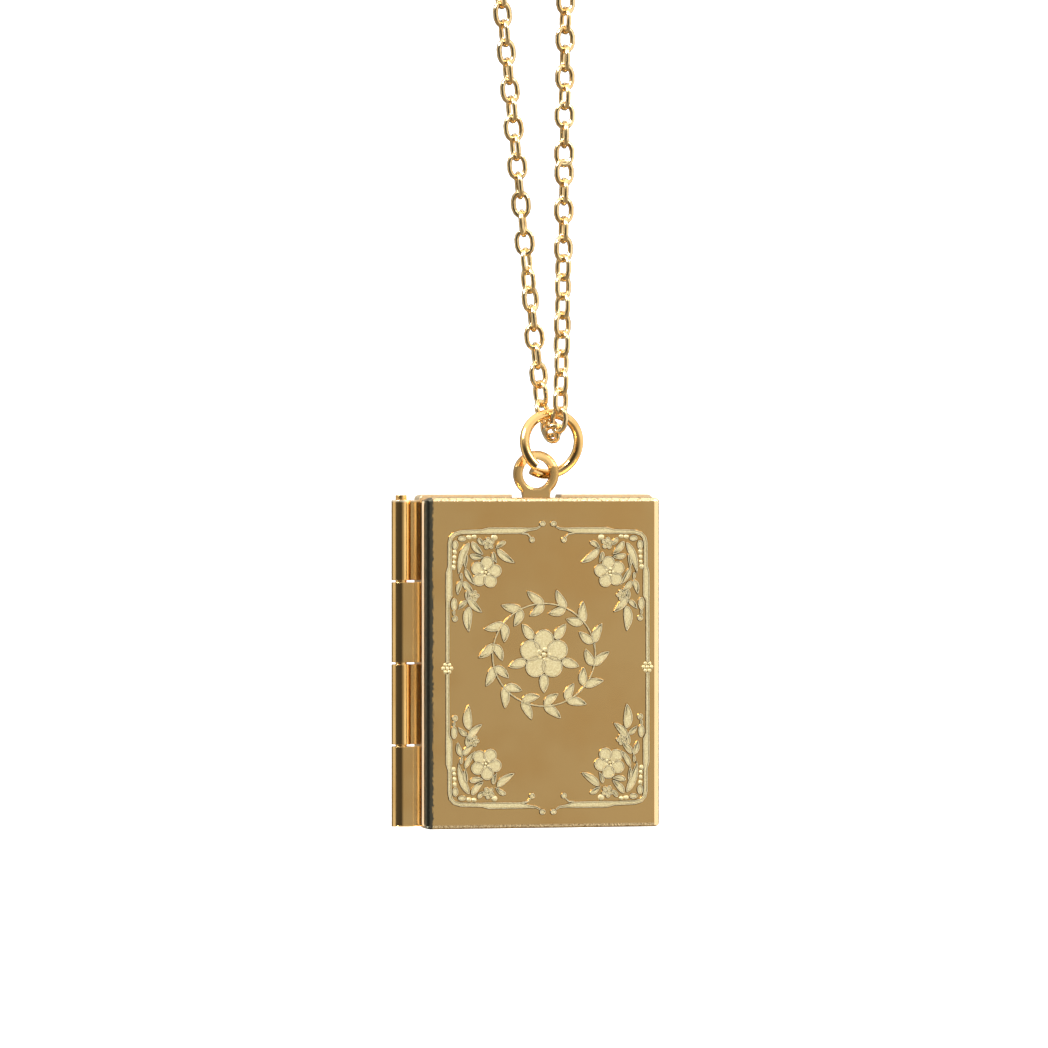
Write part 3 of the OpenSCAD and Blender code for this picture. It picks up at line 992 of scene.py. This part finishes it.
# Tint of the studio round the locket, and colours of the sky above and the ground below
ROUND_TINT = (1, 0.97, 0.92)
SKY = (1.35, 1.35, 1.35)
GROUND = (0.30, 0.30 * 0.85, 0.30 * 0.65)
# Sines of the elevations between which the sky and the ground take over
SKY_RISE = (0.35, 0.75)
GROUND_FALL = (-0.30, -0.65)
# Columns: name, azimuth and elevation in degrees, distance, size and power
LAMPS = (
    ("key_light", -62, 42, 0.9, 0.30, 9.5),
    ("side_light", 50, 40, 1.0, 0.35, 3.5),
)
# Radius and height of the backdrop in widths of the floor, and its sides
BACKDROP_SHARE = 0.45
BACKDROP_SIDES = 64
SENSOR_WIDTH = 36
# Nearest and farthest things that the camera sees, in metres
CLIP = (0.01, 100)


class LOCKET_OT_studio(bpy.types.Operator):
    """Sets the pale floor, the soft studio light and the camera"""

    bl_idname = "locket.set_studio"
    bl_label = "Set the studio"

    def execute(self, context):
        studio = context.scene.locket_studio
        paint = Paint("floor_white")
        paint.set(Base_Color=(0.9, 0.9, 0.9), Roughness=0.9, Emission_Color=(1.0, 1.0, 1.0),
                  Emission_Strength=0.75)
        self.floor(studio, paint.material)
        self.backdrop(studio, paint.material)
        self.world(context)
        self.lights(context, studio)
        self.camera(context, studio)
        context.scene.view_settings.view_transform = "Standard"
        return {"FINISHED"}

    def stage_piece(self, name, bm, material):
        """Turns a bmesh into a piece of the studio that the gold doesn't mirror."""
        piece = make_object(name, bm, [material])
        piece.visible_glossy = False
        return piece

    def floor(self, studio, material):
        bm = bmesh.new()
        place = Matrix.Translation((0, 0, studio.floor_height))
        bmesh.ops.create_grid(bm, x_segments=1, y_segments=1, size=studio.floor_size / 2,
                              matrix=place)
        self.stage_piece("floor", bm, material)

    def backdrop(self, studio, material):
        """A plain round wall, so far off that no view's camera stands behind it."""
        bm = bmesh.new()
        radius = studio.floor_size * BACKDROP_SHARE
        bmesh.ops.create_cone(bm, cap_ends=False, segments=BACKDROP_SIDES, radius1=radius,
                              radius2=radius, depth=radius)
        bmesh.ops.reverse_faces(bm, faces=bm.faces)
        backdrop = self.stage_piece("backdrop", bm, material)
        backdrop.visible_diffuse = False
        backdrop.visible_shadow = False

    def world(self, context):
        """A soft studio round the locket: bright above and at both sides, dark between."""
        world = bpy.data.worlds.new("studio")
        world.use_nodes = True
        context.scene.world = world
        nodes = Nodes(world.node_tree)
        way = nodes.parts(nodes.node("ShaderNodeTexCoord", {})["Generated"])
        turn = nodes.calc("ARCTAN2", way["X"], nodes.calc("MULTIPLY", way["Y"], -1))
        inputs = {"Value": turn, "From Min": -math.pi, "From Max": math.pi}
        around = self.ramp(nodes, nodes.node("ShaderNodeMapRange", inputs)[0])
        above = nodes.step(way["Z"], *SKY_RISE)
        below = nodes.step(way["Z"], *GROUND_FALL)
        lit = nodes.blend(below, nodes.blend(above, around, SKY), GROUND)
        nodes.put(world.node_tree.nodes["Background"].inputs["Color"], lit)

    def ramp(self, nodes, share):
        """The studio's light by its share of the way round."""
        light = nodes.node("ShaderNodeValToRGB", {0: share})[0]
        ramp = light.node.color_ramp
        ramp.interpolation = "EASE"
        elements = ramp.elements
        while len(elements) < len(STUDIO_ROUND):
            elements.new(0.5)
        for element, (azimuth, bright) in zip(elements, STUDIO_ROUND):
            element.position = (azimuth + 180) / 360
        for element, (azimuth, bright) in zip(elements, STUDIO_ROUND):
            element.color = (*(bright * tint for tint in ROUND_TINT), 1)
        return light

    def aim(self, context, thing, target, azimuth, elevation, distance):
        """Sets a lamp or the camera so far off its target, turned to face it."""
        context.scene.collection.objects.link(thing)
        flat = math.cos(elevation)
        back = Vector((math.sin(azimuth) * flat, -math.cos(azimuth) * flat,
                       math.sin(elevation)))
        thing.location = Vector(target) + back * distance
        thing.rotation_euler = back.to_track_quat("Z", "Y").to_euler()

    def lights(self, context, studio):
        for name, azimuth, elevation, distance, size, power in LAMPS:
            lamp = bpy.data.lights.new(name, "AREA")
            lamp.shape = "DISK"
            lamp.size = size
            lamp.energy = power
            light = bpy.data.objects.new(name, lamp)
            light.visible_camera = False
            self.aim(context, light, studio.target, math.radians(azimuth),
                     math.radians(elevation), distance)

    def camera(self, context, studio):
        lens = bpy.data.cameras.new("camera")
        lens.lens = studio.lens
        lens.sensor_width = SENSOR_WIDTH
        lens.clip_start, lens.clip_end = CLIP
        camera = bpy.data.objects.new("camera", lens)
        distance = studio.picture_width * lens.lens / lens.sensor_width
        self.aim(context, camera, studio.target, studio.azimuth, studio.elevation, distance)
        context.scene.camera = camera


class LOCKET_PT_panel(bpy.types.Panel):
    """Lists the locket's steps"""

    bl_label = "Book locket"
    bl_idname = "LOCKET_PT_panel"
    bl_space_type = "VIEW_3D"
    bl_region_type = "UI"
    bl_category = "Locket"

    def draw(self, context):
        for step in STEPS:
            self.layout.operator(step.bl_idname)
        for name in SETTINGS:
            box = self.layout.box()
            settings = getattr(context.scene, name)
            for key in settings.__annotations__:
                box.prop(settings, key)


SETTINGS = {
    "locket_case": CaseSizes,
    "locket_engraving": EngravingSizes,
    "locket_chain": ChainSizes,
    "locket_clasp": ClaspSizes,
    "locket_studio": StudioSizes,
}
STEPS = (LOCKET_OT_studio, LOCKET_OT_case, LOCKET_OT_engraving, LOCKET_OT_chain,
         LOCKET_OT_clasp)
CLASSES = (*SETTINGS.values(), *STEPS, LOCKET_PT_panel)


def register():
    for cls in CLASSES:
        bpy.utils.register_class(cls)
    for name, cls in SETTINGS.items():
        setattr(bpy.types.Scene, name, PointerProperty(type=cls))


def unregister():
    for name in SETTINGS:
        delattr(bpy.types.Scene, name)
    for cls in reversed(CLASSES):
        bpy.utils.unregister_class(cls)


def main():
    register()
    for step in STEPS:
        group, name = step.bl_idname.split(".")
        getattr(getattr(bpy.ops, group), name)()


if __name__ == "__main__":
    main()
